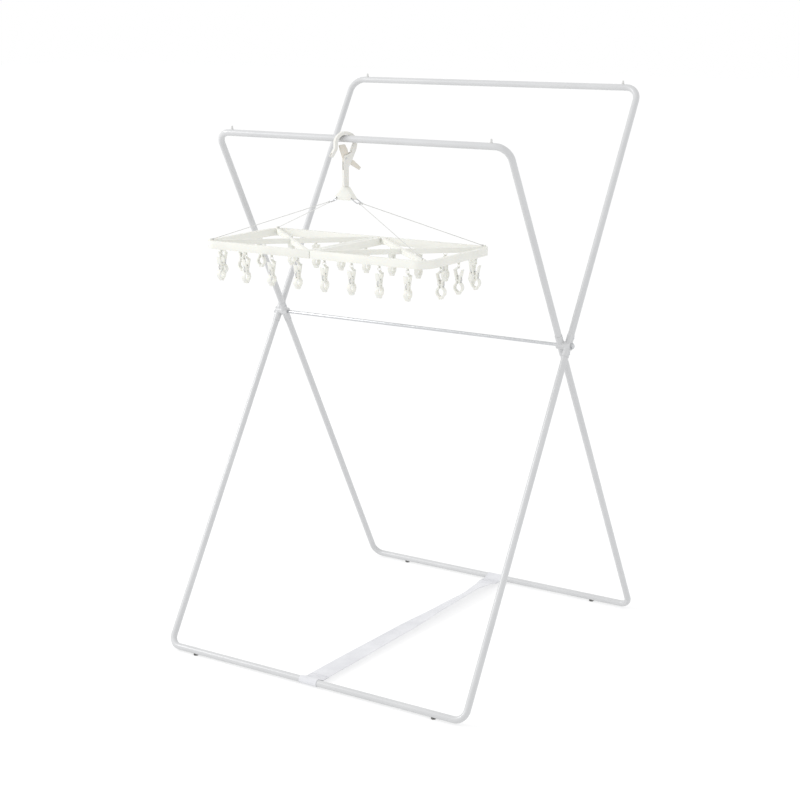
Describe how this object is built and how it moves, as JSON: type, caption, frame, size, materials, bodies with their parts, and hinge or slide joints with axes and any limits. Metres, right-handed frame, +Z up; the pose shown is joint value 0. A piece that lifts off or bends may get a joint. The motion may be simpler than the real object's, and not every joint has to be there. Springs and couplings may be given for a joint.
{
  "type": "clothes drying rack",
  "caption": "Folding X-frame clothes drying rack of bent white tube, with a floor strap and a swivelling clip hanger on its front rail.",
  "frame": {"origin": "on the floor, at the middle of the footprint, midway between the two floor rails", "axes": "+Z up; +X along the rails, to the right seen from the front; -Y towards the front, the side the clip hanger hangs on"},
  "size_m": [0.884, 0.8956, 1.3868],
  "materials": {
    "white_enamel": "glossy white powder coat",
    "zinc_steel": "zinc plated",
    "white_nylon": "satin moulded",
    "dark_rubber": "matte",
    "webbing": "woven",
    "white_cord": "braided",
    "amber_plastic": "satin moulded",
    "hook_plastic": "satin moulded",
    "ivory_plastic": "satin moulded"
  },
  "bodies": {
    "outer_frame": {"outer_upper_tube": "white_enamel", "outer_lower_tube": "white_enamel", "outer_sleeve_left": "white_enamel", "outer_sleeve_right": "white_enamel", "outer_sleeve_screws": "zinc_steel", "axle_rod": "zinc_steel", "axle_nut_left": "zinc_steel", "axle_nut_right": "zinc_steel", "outer_stop_left": "white_nylon", "outer_stop_right": "white_nylon", "front_foot_left": "dark_rubber", "front_foot_right": "dark_rubber", "strap_front_loop": "webbing", "strap_webbing": "webbing"},
    "inner_frame": {"inner_upper_tube": "white_enamel", "inner_lower_tube": "white_enamel", "inner_sleeve_left": "white_enamel", "inner_sleeve_right": "white_enamel", "inner_sleeve_screws": "zinc_steel", "pivot_washer_left": "white_nylon", "pivot_washer_right": "white_nylon", "inner_stop_left": "white_nylon", "inner_stop_right": "white_nylon", "rear_foot_left": "dark_rubber", "rear_foot_right": "dark_rubber", "strap_rear_loop": "webbing"},
    "hook": {"hook_body": "hook_plastic", "swivel_pin": "zinc_steel", "lever_pin": "zinc_steel", "lever_spring": "zinc_steel"},
    "hook_lever": {"hook_lever": "amber_plastic"},
    "hanger": {"hanger_base": "ivory_plastic", "string_link_left": "zinc_steel", "string_link_right": "zinc_steel", "string_front_left": "white_cord", "string_front_right": "white_cord", "string_back_left": "white_cord", "string_back_right": "white_cord", "clip_frame_left": "ivory_plastic", "clip_frame_right": "ivory_plastic", "frame_hinge_pins": "zinc_steel", "clip_rings_front": "ivory_plastic", "clip_rings_back": "ivory_plastic", "clip_rings_left": "ivory_plastic", "clip_rings_right": "ivory_plastic", "fixed_jaws_front": "ivory_plastic", "fixed_jaws_back": "ivory_plastic", "fixed_jaws_left": "ivory_plastic", "fixed_jaws_right": "ivory_plastic", "clip_springs_front": "zinc_steel", "clip_springs_back": "zinc_steel", "clip_springs_left": "zinc_steel", "clip_springs_right": "zinc_steel"},
    "front_jaws": {"moving_jaws_front": "ivory_plastic"},
    "back_jaws": {"moving_jaws_back": "ivory_plastic"},
    "left_jaws": {"moving_jaws_left": "ivory_plastic"},
    "right_jaws": {"moving_jaws_right": "ivory_plastic"}
  },
  "joints": [
    {"name": "frame_fold", "type": "hinge", "parent": "outer_frame", "child": "inner_frame", "pos_m": [0, 0.02229, 0.784], "axis": [-1, 0, 0], "range_deg": [0, 59], "deforming": ["strap_webbing"]},
    {"name": "hanger_swing", "type": "hinge", "parent": "inner_frame", "child": "hook", "pos_m": [-0.028, -0.23758, 1.26646], "axis": [1, 0, 0], "range_deg": [-45, 45]},
    {"name": "hook_swivel", "type": "hinge", "parent": "hook", "child": "hanger", "pos_m": [-0.028, -0.23758, 1.12], "axis": [0, 0, 1], "continuous": true},
    {"name": "lever_squeeze", "type": "hinge", "parent": "hook", "child": "hook_lever", "pos_m": [-0.028, -0.23758, 1.22147], "axis": [-0.8192, 0.5736, 0], "range_deg": [0, 20], "stiffness_Nm_per_rad": 0.02, "springref_deg": -5.73, "deforming": ["lever_spring"]},
    {"name": "front_clips_squeeze", "type": "hinge", "parent": "hanger", "child": "front_jaws", "pos_m": [-0.028, -0.37648, 0.96347], "axis": [-1, 0, 0], "range_deg": [0, 13], "stiffness_Nm_per_rad": 0.05, "springref_deg": -8.59, "deforming": ["clip_springs_front"]},
    {"name": "back_clips_squeeze", "type": "hinge", "parent": "hanger", "child": "back_jaws", "pos_m": [-0.028, -0.09868, 0.96347], "axis": [1, 0, 0], "range_deg": [0, 13], "stiffness_Nm_per_rad": 0.05, "springref_deg": -8.59, "deforming": ["clip_springs_back"]},
    {"name": "left_clips_squeeze", "type": "hinge", "parent": "hanger", "child": "left_jaws", "pos_m": [-0.3369, -0.23758, 0.96347], "axis": [0, 1, 0], "range_deg": [0, 13], "stiffness_Nm_per_rad": 0.05, "springref_deg": -8.59, "deforming": ["clip_springs_left"]},
    {"name": "right_clips_squeeze", "type": "hinge", "parent": "hanger", "child": "right_jaws", "pos_m": [0.2809, -0.23758, 0.96347], "axis": [0, -1, 0], "range_deg": [0, 13], "stiffness_Nm_per_rad": 0.05, "springref_deg": -8.59, "deforming": ["clip_springs_right"]}
  ],
  "couplings": [
    {"joint": "back_clips_squeeze", "follows": "front_clips_squeeze", "ratio": 1},
    {"joint": "left_clips_squeeze", "follows": "front_clips_squeeze", "ratio": 1},
    {"joint": "right_clips_squeeze", "follows": "front_clips_squeeze", "ratio": 1}
  ]
}
